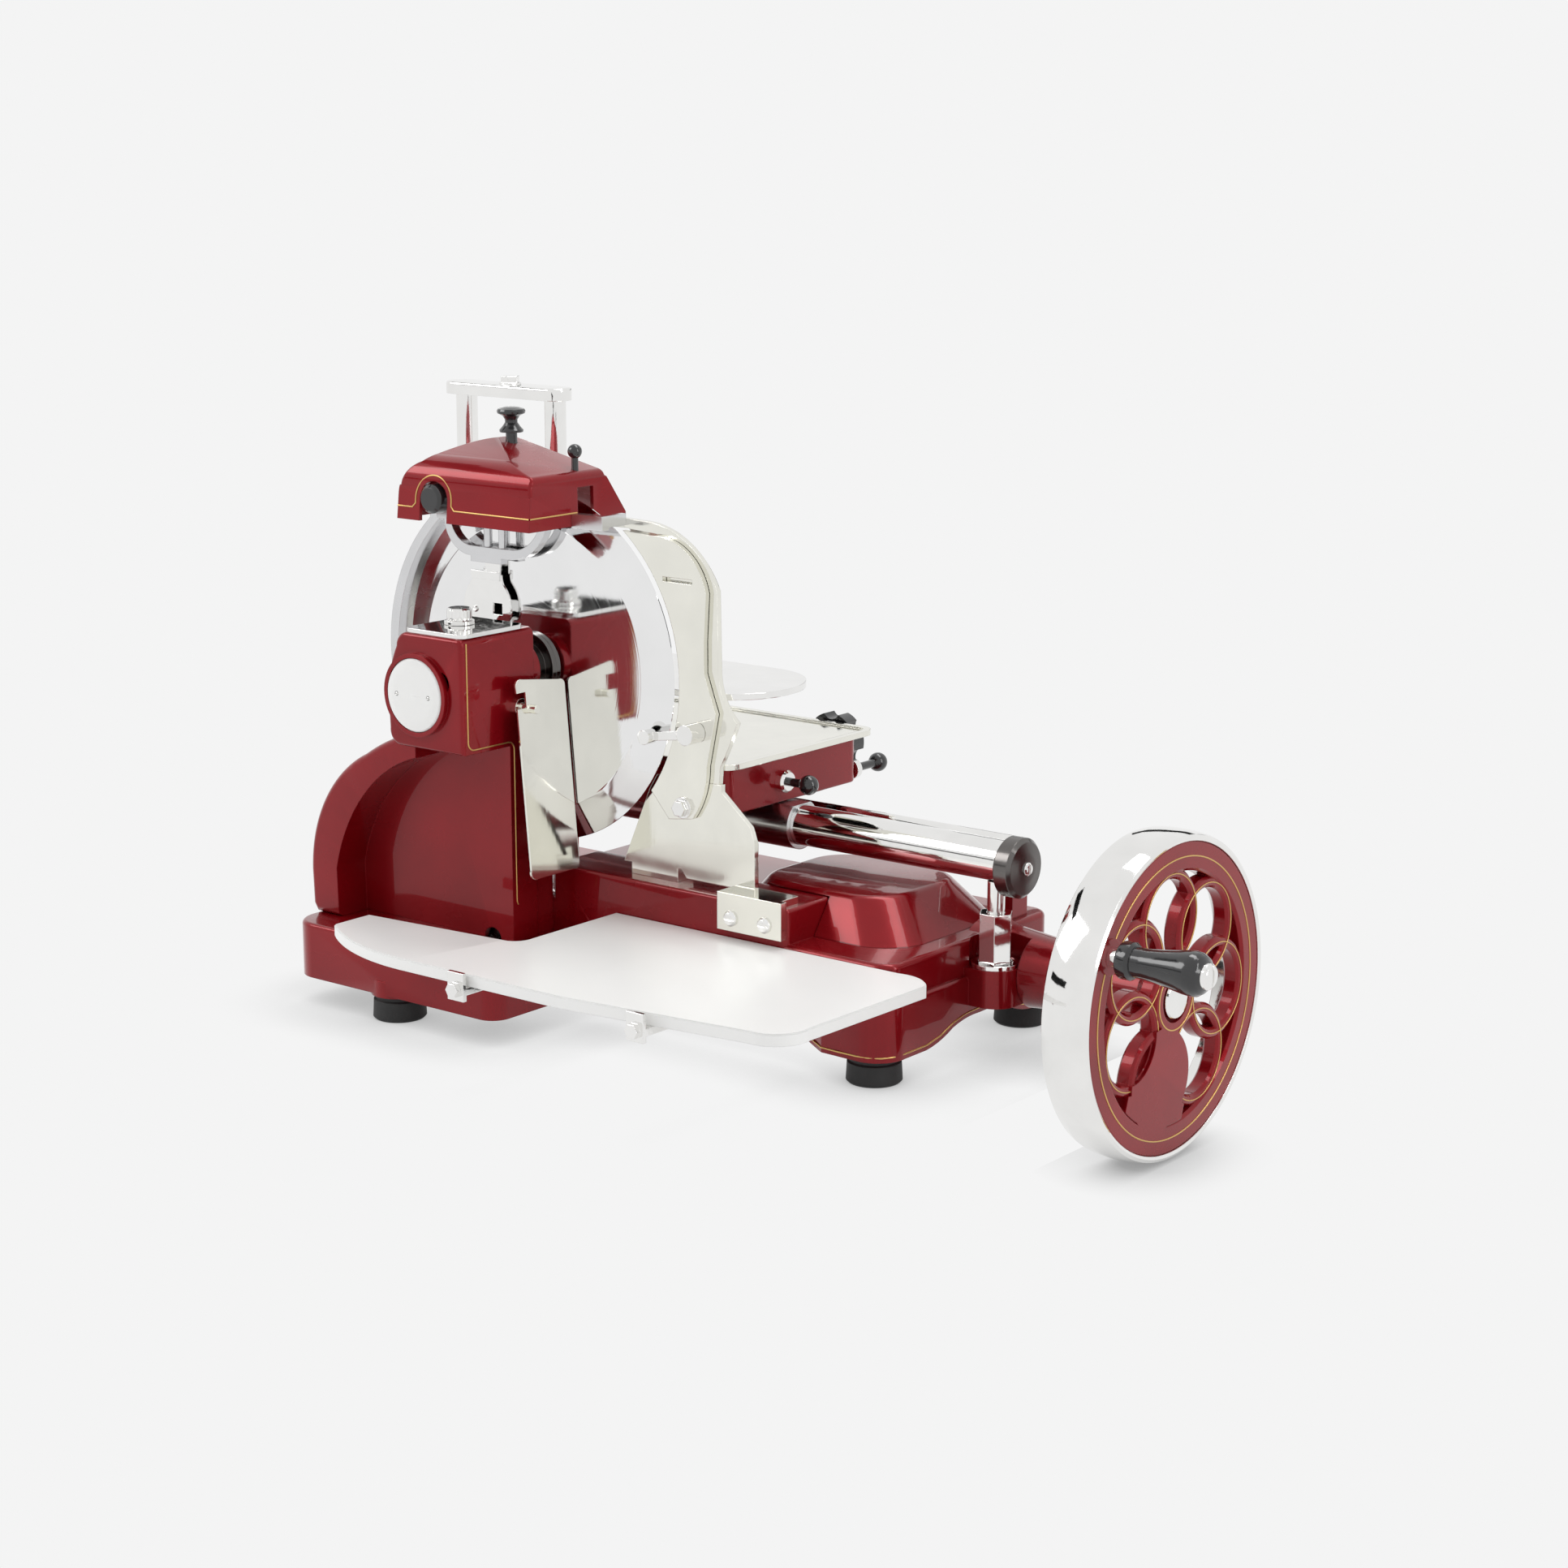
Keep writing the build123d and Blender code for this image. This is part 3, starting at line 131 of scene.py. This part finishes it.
# deep lacquer: fine orange peel, dust that dulls it in patches, paler worn edges
enamel = {"patches": 14.0, "dust": 30.0, "rough": (0.24, 0.29), "peel": 260.0, "peelDepth": 0.000006,
          "edge": 0.0012, "worn": 0.35, "wornFrom": (0.53, 0.62), "paler": (1.3, 0.006),
          "lacquer": {"Metallic": 0.35, "Specular IOR Level": 0.15, "Coat Weight": 1.0, "Coat IOR": 1.3,
                      "Coat Roughness": 0.02}}


def enamelPaint(name, colour, deep):
    mat, tree, shader = newMaterial(name)
    base = mottled(tree, noise(tree, enamel["patches"], 4.0), deep, colour)
    geometry = add(tree, "ShaderNodeNewGeometry")
    worn = ramp(tree, geometry.outputs["Pointiness"], 0.0, enamel["worn"], *enamel["wornFrom"])
    gain, lift = enamel["paler"]
    pale = tuple(min(1.0, c * gain + lift) for c in colour)
    tree.links.new(mixColour(tree, worn, base, pale), shader.inputs["Base Color"])
    tree.links.new(ramp(tree, noise(tree, enamel["dust"]), *enamel["rough"]), shader.inputs["Roughness"])
    setInputs(shader, enamel["lacquer"])
    bump(tree, shader, noise(tree, enamel["peel"], 2.0), enamel["peelDepth"], enamel["edge"])
    return mat


# metal with smudges in its gloss and, if asked for, a grain along one direction
metal = {"smudge": 30.0, "fine": 260.0, "grain": 500.0, "depth": 0.00002, "edge": 0.0008, "tint": 0.93}


def plainMetal(name, colour, low, high, grain=None, edge=metal["edge"]):
    mat, tree, shader = newMaterial(name)
    smudge = noise(tree, metal["smudge"], 4.0)
    tint = tuple(c * metal["tint"] for c in colour)
    tree.links.new(mottled(tree, smudge, tint, colour), shader.inputs["Base Color"])
    tree.links.new(ramp(tree, smudge, low, high), shader.inputs["Roughness"])
    setInputs(shader, {"Metallic": 1.0})
    texture = noise(tree, metal["grain"] if grain else metal["fine"], 2.0, grain)
    bump(tree, shader, texture, metal["depth"], edge)
    return mat


# steel ground in circles round the Y axis through the blade's centre
turning = {"rings": 900.0, "depth": 0.000012, "smudge": 18.0, "tint": 0.94}


def turnedSteel(name, colour, low, high, centre):
    mat, tree, shader = newMaterial(name)
    coords = add(tree, "ShaderNodeTexCoord")
    shift = add(tree, "ShaderNodeMapping", Location=(-centre[0], 0.0, -centre[2]), Scale=(1.0, 0.0, 1.0))
    tree.links.new(coords.outputs["Object"], shift.inputs["Vector"])
    length = add(tree, "ShaderNodeVectorMath", operation="LENGTH")
    tree.links.new(shift.outputs["Vector"], length.inputs[0])
    rings = add(tree, "ShaderNodeTexNoise", noise_dimensions="1D", Scale=turning["rings"], Detail=3.0)
    tree.links.new(length.outputs["Value"], rings.inputs["W"])
    tint = tuple(c * turning["tint"] for c in colour)
    smudged = mottled(tree, noise(tree, turning["smudge"], 4.0), tint, colour)
    tree.links.new(smudged, shader.inputs["Base Color"])
    tree.links.new(ramp(tree, rings.outputs["Fac"], low, high), shader.inputs["Roughness"])
    setInputs(shader, {"Metallic": 1.0})
    bump(tree, shader, rings.outputs["Fac"], turning["depth"])
    return mat


# moulded plastic or rubber with a faint surface texture and handling marks
mould = {"marks": 25.0, "texture": 220.0, "depth": 0.00004, "edge": 0.0008, "tint": 0.99, "coatRough": 0.08}


def moulded(name, colour, low, high, coat=0.0, depth=mould["depth"], scale=mould["texture"]):
    mat, tree, shader = newMaterial(name)
    marks = noise(tree, mould["marks"], 4.0)
    tint = tuple(c * mould["tint"] for c in colour)
    tree.links.new(mottled(tree, marks, tint, colour), shader.inputs["Base Color"])
    tree.links.new(ramp(tree, marks, low, high), shader.inputs["Roughness"])
    if coat:
        setInputs(shader, {"Coat Weight": coat, "Coat Roughness": mould["coatRough"]})
    bump(tree, shader, noise(tree, scale, 3.0), depth, mould["edge"])
    return mat


alongZ = (1.0, 1.0, 0.04)  # noise drawn out into a grain up and down
mats = {
    "red_enamel": enamelPaint("redEnamel", look["enamel"], look["enamelDark"]),
    "chrome": plainMetal("chrome", look["chrome"], 0.03, 0.07),
    "stainless": plainMetal("stainless", look["stainless"], 0.07, 0.13, grain=alongZ),
    "blade_steel": turnedSteel("bladeSteel", look["bladeSteel"], 0.03, 0.09, bladeAt),
    "black_knob": moulded("blackKnob", look["black"], 0.12, 0.24, coat=0.6),
    "rubber": moulded("rubber", look["rubber"], 0.55, 0.75),
    "white_board": moulded("whiteBoard", look["board"], 0.30, 0.34, depth=0.00001),
    "white_badge": moulded("whiteBadge", look["badge"], 0.15, 0.25, coat=0.5, depth=0.00001),
    "dark_steel": plainMetal("darkSteel", look["darkSteel"], 0.16, 0.30),
    "alloy": plainMetal("alloy", look["alloy"], 0.16, 0.30),
    "stone": moulded("stone", look["stone"], 0.8, 0.95, depth=0.0003, scale=900.0),
}
goldPaint = plainMetal("goldPaint", look["gold"], 0.28, 0.42, edge=0.0)
print("materials:", len(mats) + 1)

# smooth shading by angle, for the CAD nodes
smoothing = {"weld": 0.000002, "below": radians(28)}


def smoothGroup():
    group = bpy.data.node_groups.new("smoothByAngle", "GeometryNodeTree")
    for direction in ("INPUT", "OUTPUT"):
        group.interface.new_socket("Geometry", in_out=direction, socket_type="NodeSocketGeometry")
    source = group.nodes.new("NodeGroupInput")
    sink = group.nodes.new("NodeGroupOutput")
    weld = add(group, "GeometryNodeMergeByDistance", Distance=smoothing["weld"])
    angle = add(group, "GeometryNodeInputMeshEdgeAngle")
    soft = add(group, "FunctionNodeCompare", data_type="FLOAT", operation="LESS_THAN")
    soft.inputs[1].default_value = smoothing["below"]
    edges = add(group, "GeometryNodeSetShadeSmooth", domain="EDGE")
    faces = add(group, "GeometryNodeSetShadeSmooth", domain="FACE")
    link = group.links.new
    link(source.outputs[0], weld.inputs["Geometry"])
    link(weld.outputs["Geometry"], edges.inputs["Geometry"])
    link(angle.outputs["Unsigned Angle"], soft.inputs[0])
    link(soft.outputs["Result"], edges.inputs["Shade Smooth"])
    link(edges.outputs["Geometry"], faces.inputs["Geometry"])
    link(faces.outputs["Geometry"], sink.inputs[0])
    return group


smoothTree = smoothGroup()
slotOf = {part["node"]: part["material_slot"] for part in frame["record"]["subparts"]}
for name, obj in nodes.items():
    obj.data.materials.clear()
    obj.data.materials.append(mats[slotOf[name]])
    obj.modifiers.new("smoothByAngle", "NODES").node_group = smoothTree
print("CAD nodes dressed")


# thin painted line along points in mm, half sunk in the surface that it lies on
def stripe(name, points, body, radius=0.55, closed=False):
    data = bpy.data.curves.new(name, "CURVE")
    data.dimensions = "3D"
    data.bevel_depth = radius * mm
    data.bevel_resolution = 2
    line = data.splines.new("POLY")
    line.points.add(len(points) - 1)
    for point, at in zip(line.points, points):
        point.co = (at[0] * mm, at[1] * mm, at[2] * mm, 1.0)
    line.use_cyclic_u = closed
    data.materials.append(goldPaint)
    obj = bpy.data.objects.new(name, data)
    bpy.context.scene.collection.objects.link(obj)
    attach(obj, body)
    return obj


def arcPoints(centre, r, start, end, steps, plane):
    points = []
    for i in range(steps + 1):
        angle = radians(start + (end - start) * i / steps)
        points.append(plane(centre[0] + r * cos(angle), centre[1] + r * sin(angle)))
    return points


def circle(centre, r, steps, plane):
    return arcPoints(centre, r, 0, 360, steps, plane)[:-1]


proud = 0.05  # how far a line's middle stands off its surface

# flywheel: one line inside the rim, one round the hub, one on each open ring
wheelLines = {"outer": 95.0, "hub": 21.0, "orbit": 54.6, "ring": 31.3, "ringsBack": 1.0, "count": 7,
              "filled": 252.0, "ringThick": 0.45}


def onWheelAt(depth):
    x, y, z = (value / mm for value in wheelAt)
    return lambda u, v: (x - depth + proud, y + u, z + v)


onDisc = onWheelAt(0.0)
onRings = onWheelAt(wheelLines["ringsBack"])
stripe("wheelOuterLine", circle((0, 0), wheelLines["outer"], 120, onDisc), "flywheel", closed=True)
stripe("wheelHubLine", circle((0, 0), wheelLines["hub"], 60, onDisc), "flywheel", closed=True)
for i in range(1, wheelLines["count"]):  # ring 0 is the filled one
    turn = radians(wheelLines["filled"] + 360 * i / wheelLines["count"])
    middle = (wheelLines["orbit"] * cos(turn), wheelLines["orbit"] * sin(turn))
    stripe("ringLine" + str(i), circle(middle, wheelLines["ring"], 60, onRings), "flywheel",
           radius=wheelLines["ringThick"], closed=True)

# tower's right side: down at the front, back along a step, down again to the skirt
towerLine = {"front": -93.0, "top": 277.0, "step": 203.0, "back": -48.0, "foot": 90.0, "round": 6.0}
towerX = nodeBox("tower_body")[1][0] + proud


def onTowerSide(y, z):
    return (towerX, y, z)


bend = towerLine["round"]
sideLine = [onTowerSide(towerLine["front"], towerLine["top"])]
sideLine += arcPoints((towerLine["front"] + bend, towerLine["step"] + bend), bend, 180, 270, 8, onTowerSide)
sideLine += arcPoints((towerLine["back"] - bend, towerLine["step"] - bend), bend, 90, 0, 8, onTowerSide)
sideLine += arcPoints((towerLine["back"] + bend, towerLine["foot"]), bend, 180, 215, 4, onTowerSide)
stripe("towerSideLine", sideLine, "stand")

# hood: along its lower edge, with an arch at the front, and on along its right side
hoodLine = {"above": 9.0, "lean": 2.0 / 23.0, "archX": -40.5, "archAbove": 15.0, "archR": 17.0, "corner": 3.0,
            "fromLeft": 0.4, "fromRight": 0.6, "sideDepth": 0.25, "sideFrom": -60.0, "sideTo": -13.0,
            "thick": 0.6}
hoodBox = nodeBox("sharpener_cover")
hoodLeft, hoodFront, hoodLow = hoodBox[0]
hoodRight = hoodBox[1][0] + proud


def onHoodFront(x, z):
    return (x, hoodFront - proud + max(0.0, z - hoodLow) * hoodLine["lean"], z)


lineZ = hoodLow + hoodLine["above"]
archFoot = lineZ + hoodLine["corner"]
archLeft = hoodLine["archX"] - hoodLine["archR"]
archRight = hoodLine["archX"] + hoodLine["archR"]
archAt = (hoodLine["archX"], hoodLow + hoodLine["archAbove"])
frontLine = [onHoodFront(hoodLeft + hoodLine["fromLeft"], lineZ),
             onHoodFront(archLeft - hoodLine["corner"], lineZ), onHoodFront(archLeft, archFoot)]
frontLine += arcPoints(archAt, hoodLine["archR"], 180, 0, 24, onHoodFront)
frontLine += [onHoodFront(archRight, archFoot), onHoodFront(archRight + hoodLine["corner"], lineZ),
              onHoodFront(hoodRight - hoodLine["fromRight"], lineZ)]
stripe("hoodFrontLine", frontLine, "stand", radius=hoodLine["thick"])
sideRun = [(hoodRight - hoodLine["sideDepth"], y, lineZ) for y in (hoodLine["sideFrom"], hoodLine["sideTo"])]
stripe("hoodSideLine", sideRun, "stand", radius=hoodLine["thick"])

# skirt of the base casting: just above its lower edge, over both arches and round the foot's bulge between;
# each arch is its start and its length
skirt = {"above": 5.5, "frontY": -8.0, "sideX": 318.0, "start": 68.0, "frontArch": (76.0, 188.0),
         "bulgeAt": 160.0, "sideArch": (28.0, 124.0), "rise": 12.0, "thick": 0.6}
bulgeStart = ((244, -9.3), (251, -12.1), (258, -15.5))  # still over the front arch
bulgeRound = ((266, -19.1), (281, -20.05), (296, -20.05), (304, -18.6), (312, -14.2), (316.5, -7),
              (318.05, 4))
# an arch's distance from its end and share of its rise
archShape = ((0, 0.0), (16, 0.25), (30, 0.70), (44, 0.95), (60, 1.0))


# height of an arch at a distance along it
def archRise(along, length):
    along = min(along, length - along)
    for (a, low), (b, high) in zip(archShape, archShape[1:]):
        if along <= b:
            return skirt["rise"] * (low + (high - low) * (along - a) / (b - a))
    return skirt["rise"]


skirtZ = nodeBox("base_casting")[0][2] + skirt["above"]
frontY = skirt["frontY"] - proud
archFrom, archLength = skirt["frontArch"]
skirtLine = [(skirt["start"], frontY, skirtZ)]
for i in range(33):
    along = skirt["bulgeAt"] * i / 32
    skirtLine.append((archFrom + along, frontY, skirtZ + archRise(along, archLength)))
skirtLine += [(x, y, skirtZ + archRise(x - archFrom, archLength)) for x, y in bulgeStart]
skirtLine += [(x, y, skirtZ) for x, y in bulgeRound]
archFrom, archLength = skirt["sideArch"]
for i in range(25):
    along = archLength * i / 24
    skirtLine.append((skirt["sideX"] + proud, archFrom + along, skirtZ + archRise(along, archLength)))
stripe("skirtLine", skirtLine, "stand", radius=skirt["thick"])
print("lines drawn")


# studio
def panelOf(name, corners, material):
    data = bpy.data.meshes.new(name)
    data.from_pydata(corners, [], [tuple(range(len(corners)))])
    data.materials.append(material)
    obj = bpy.data.objects.new(name, data)
    bpy.context.scene.collection.objects.link(obj)
    return obj


# one where the camera, a mirror or glass looks at it, else nought
def seenByCamera(tree):
    path = add(tree, "ShaderNodeLightPath")
    total = path.outputs["Is Camera Ray"]
    for other in ("Is Glossy Ray", "Is Transmission Ray"):
        either = add(tree, "ShaderNodeMath", operation="MAXIMUM")
        tree.links.new(total, either.inputs[0])
        tree.links.new(path.outputs[other], either.inputs[1])
        total = either.outputs[0]
    return total


# the table ends at tableEnd, before the flywheel; the lower floor lies just under the rim
backdrop = {"colour": (0.905, 0.905, 0.905, 1.0), "dull": {"Roughness": 0.9, "Specular IOR Level": 0.0},
            "tableEnd": 0.392, "floorZ": -0.0525, "out": 3.0, "shadowReach": 0.07, "shadowFloor": 0.30,
            "shadowFull": 0.96, "wheelShadow": (0.03, 0.09), "wheelShift": -0.012}


# the backdrop's own colour with the object's soft shadow on it, if asked for only near a point
def floorMaterial(name, near=None):
    mat, tree, shader = newMaterial(name)
    setInputs(shader, {"Base Color": backdrop["colour"], **backdrop["dull"]})
    shade = add(tree, "ShaderNodeAmbientOcclusion", samples=16, Distance=backdrop["shadowReach"])
    strength = ramp(tree, shade.outputs["AO"], backdrop["shadowFloor"], 1.0, 0.0, backdrop["shadowFull"])
    if near:
        coords = add(tree, "ShaderNodeTexCoord")
        away = add(tree, "ShaderNodeVectorMath", operation="DISTANCE")
        tree.links.new(coords.outputs["Object"], away.inputs[0])
        away.inputs[1].default_value = near
        share = ramp(tree, away.outputs["Value"], 1.0, 0.0, *backdrop["wheelShadow"])
        blend = add(tree, "ShaderNodeMix", data_type="FLOAT")
        tree.links.new(share, blend.inputs[0])
        blend.inputs[2].default_value = 1.0
        tree.links.new(strength, blend.inputs[3])
        strength = blend.outputs[0]
    paper = add(tree, "ShaderNodeEmission", Color=backdrop["colour"])
    tree.links.new(strength, paper.inputs["Strength"])
    either = add(tree, "ShaderNodeMixShader")
    tree.links.new(seenByCamera(tree), either.inputs[0])
    tree.links.new(shader.outputs[0], either.inputs[1])
    tree.links.new(paper.outputs[0], either.inputs[2])
    tree.links.new(either.outputs[0], tree.nodes["Material Output"].inputs["Surface"])
    return mat


def level(name, x0, x1, z, material):
    out = backdrop["out"]
    panelOf(name, [(x0, -out, z), (x1, -out, z), (x1, out, z), (x0, out, z)], material)


underWheel = (wheelAt[0] + backdrop["wheelShift"], wheelAt[1], backdrop["floorZ"])
paleTable = floorMaterial("paleTable")
paleFloor = floorMaterial("paleFloor", underWheel)
level("tableTop", -backdrop["out"], backdrop["tableEnd"], 0.0, paleTable)
level("lowerFloor", backdrop["tableEnd"], backdrop["out"], backdrop["floorZ"], paleFloor)


def facing(obj, at, aim):
    obj.location = at
    obj.rotation_euler = (Vector(aim) - Vector(at)).to_track_quat("-Z", "Y").to_euler()


# black card that only shows as a streak in polished metal
def darkCard(name, at, aim, size):
    mat, tree, shader = newMaterial(name)
    setInputs(shader, {"Base Color": (0.01, 0.01, 0.01, 1.0), "Specular IOR Level": 0.0})
    w, h = size[0] / 2, size[1] / 2
    card = panelOf(name, [(-w, -h, 0), (w, -h, 0), (w, h, 0), (-w, h, 0)], mat)
    facing(card, at, aim)
    card.visible_camera = False
    card.visible_shadow = False
    card.visible_diffuse = False


def lamp(name, at, aim, size, power):
    data = bpy.data.lights.new(name, "AREA")
    data.shape = "RECTANGLE"
    data.size, data.size_y = size
    data.energy = power
    obj = bpy.data.objects.new(name, data)
    bpy.context.scene.collection.objects.link(obj)
    facing(obj, at, aim)


# name, place, what it faces, width and height, and a lamp's watts
lamps = (("keyPanel", (-1.7, -1.5, 1.9), (0.0, 0, 0.2), (1.5, 1.3), 26),
         ("fillPanel", (2.7, 0.1, 1.2), (0.2, 0, 0.15), (0.5, 1.9), 14),
         ("topPanel", (0.3, 0.7, 2.5), (0.1, 0, 0.2), (2.0, 0.7), 20))
cards = (("lowCard", (-1.45, -1.95, 0.62), (0.2, 0, 0.15), (1.1, 0.20)),
         ("highCard", (-1.35, -0.35, 1.75), (0.2, 0, 0.15), (1.0, 0.26)),
         ("sideCard", (2.3, -0.2, 1.2), (0.2, 0, 0.15), (0.22, 1.2)),
         ("rearCard", (-0.2, 2.2, 0.75), (0.2, 0, 0.15), (1.8, 0.25)))
for each in lamps:
    lamp(*each)
for each in cards:
    darkCard(*each)

# the room lights the object a little cooler and dimmer than the backdrop that the camera sees
room = {"light": (0.62, 0.62, 0.63, 1.0), "strength": 1.0}
world = bpy.data.worlds.new("studio")
bpy.context.scene.world = world
world.use_nodes = True
tree = world.node_tree
background = tree.nodes["Background"]
background.inputs["Strength"].default_value = room["strength"]
mix = add(tree, "ShaderNodeMix", data_type="RGBA")
mix.inputs[6].default_value = room["light"]
mix.inputs[7].default_value = backdrop["colour"]
tree.links.new(seenByCamera(tree), mix.inputs["Factor"])
tree.links.new(mix.outputs[2], background.inputs["Color"])

shot = {"at": (1.46122, -1.56264, 0.63663), "pitch": 12.56, "turn": 38.47, "lens": 70.84, "sensor": 36.0,
        "clip": 50.0}
camData = bpy.data.cameras.new("camera")
camera = bpy.data.objects.new("camera", camData)
bpy.context.scene.collection.objects.link(camera)
camera.location = shot["at"]
camera.rotation_euler = (radians(90 - shot["pitch"]), 0.0, radians(shot["turn"]))
camData.lens = shot["lens"]
camData.sensor_width = shot["sensor"]
camData.clip_end = shot["clip"]
bpy.context.scene.camera = camera
bpy.context.scene.view_settings.view_transform = "Standard"
print("studio ready")
